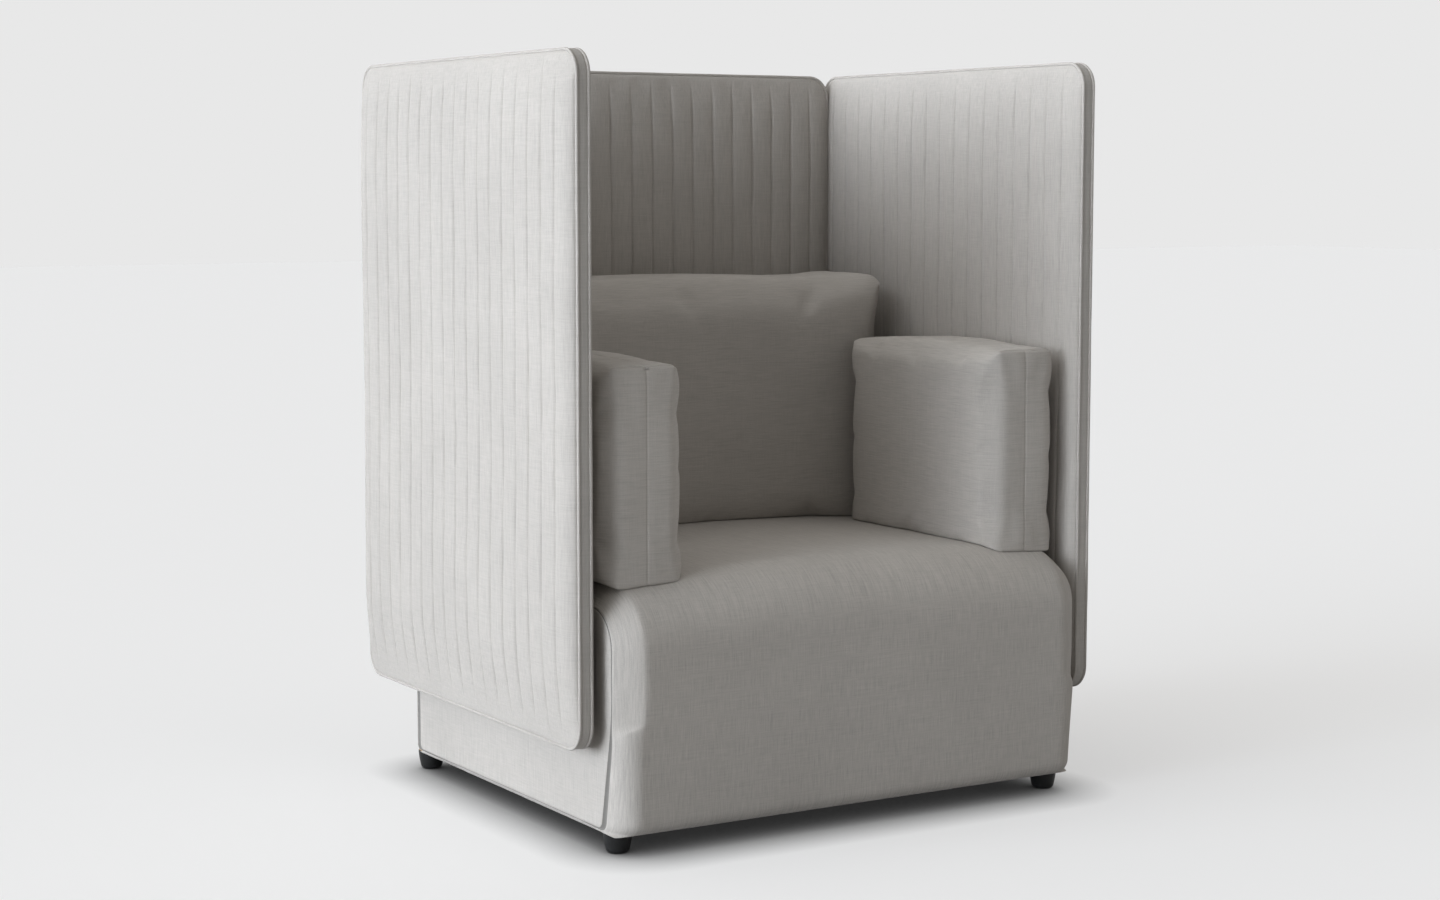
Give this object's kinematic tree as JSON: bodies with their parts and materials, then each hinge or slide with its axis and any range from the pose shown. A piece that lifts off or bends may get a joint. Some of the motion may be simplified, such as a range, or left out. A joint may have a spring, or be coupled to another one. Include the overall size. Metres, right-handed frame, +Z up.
{
  "type": "acoustic high back lounge chair",
  "caption": "Upholstered lounge chair with a low boxed seat, tall quilted sound-absorbing screens round three sides, and loose arm and back cushions.",
  "frame": {"origin": "on the floor, under the middle of the chair's bounding box", "axes": "+X to the right as seen from the front, +Y to the back, +Z up"},
  "size_m": [1.1168, 0.923, 1.351],
  "materials": {
    "seat_fabric": "woven",
    "screen_fabric": "woven",
    "cushion_fabric": "woven",
    "piping_fabric": "woven",
    "lining": "matte",
    "foam": "open cell",
    "cushion_filling": "fibre",
    "felt": "matte",
    "webbing": "woven",
    "timber": "matte",
    "pin_wood": "matte",
    "spacer_plastic": "matte",
    "foot_plastic": "satin",
    "steel": "satin"
  },
  "bodies": {
    "chair": {"back_screen_board": "timber", "back_screen_edge_band": "piping_fabric", "back_screen_inner_cover": "screen_fabric", "back_screen_inner_foam": "foam", "back_screen_outer_cover": "screen_fabric", "back_screen_outer_foam": "foam", "back_screen_piping": "piping_fabric", "centre_rail": "timber", "corner_pins": "pin_wood", "corner_posts": "timber", "crosswise_straps": "webbing", "dust_cover": "lining", "foot_front_left": "foot_plastic", "foot_front_right": "foot_plastic", "foot_rear_left": "foot_plastic", "foot_rear_right": "foot_plastic", "foot_studs": "steel", "frame_screws": "steel", "front_board": "timber", "front_foam": "foam", "front_rail": "timber", "left_board": "timber", "left_rail": "timber", "left_screen_board": "timber", "left_screen_edge_band": "piping_fabric", "left_screen_inner_cover": "screen_fabric", "left_screen_inner_foam": "foam", "left_screen_outer_cover": "screen_fabric", "left_screen_outer_foam": "foam", "left_screen_piping": "piping_fabric", "left_side_foam": "foam", "lengthwise_straps": "webbing", "rear_board": "timber", "rear_foam": "foam", "rear_rail": "timber", "right_board": "timber", "right_rail": "timber", "right_screen_board": "timber", "right_screen_edge_band": "piping_fabric", "right_screen_inner_cover": "screen_fabric", "right_screen_inner_foam": "foam", "right_screen_outer_cover": "screen_fabric", "right_screen_outer_foam": "foam", "right_screen_piping": "piping_fabric", "right_side_foam": "foam", "screen_bolts": "steel", "screen_spacers": "spacer_plastic", "seat_cover_left": "seat_fabric", "seat_cover_right": "seat_fabric", "seat_cover_wrap": "seat_fabric", "seat_foam": "foam", "tee_nuts": "steel", "webbing_felt": "felt"},
    "left_arm_cushion": {"left_arm_cushion_cover": "cushion_fabric", "left_arm_cushion_filling": "cushion_filling"},
    "right_arm_cushion": {"right_arm_cushion_cover": "cushion_fabric", "right_arm_cushion_filling": "cushion_filling"},
    "back_cushion": {"back_cushion_cover": "cushion_fabric", "back_cushion_filling": "cushion_filling"}
  },
  "joints": [
    {"name": "left_arm_cushion_lift", "type": "slide", "parent": "chair", "child": "left_arm_cushion", "axis": [0, 0, 1], "range_m": [0, 0.95]},
    {"name": "right_arm_cushion_lift", "type": "slide", "parent": "chair", "child": "right_arm_cushion", "axis": [0, 0, 1], "range_m": [0, 0.95]},
    {"name": "back_cushion_lift", "type": "slide", "parent": "chair", "child": "back_cushion", "axis": [0, 0, 1], "range_m": [0, 0.95]}
  ]
}
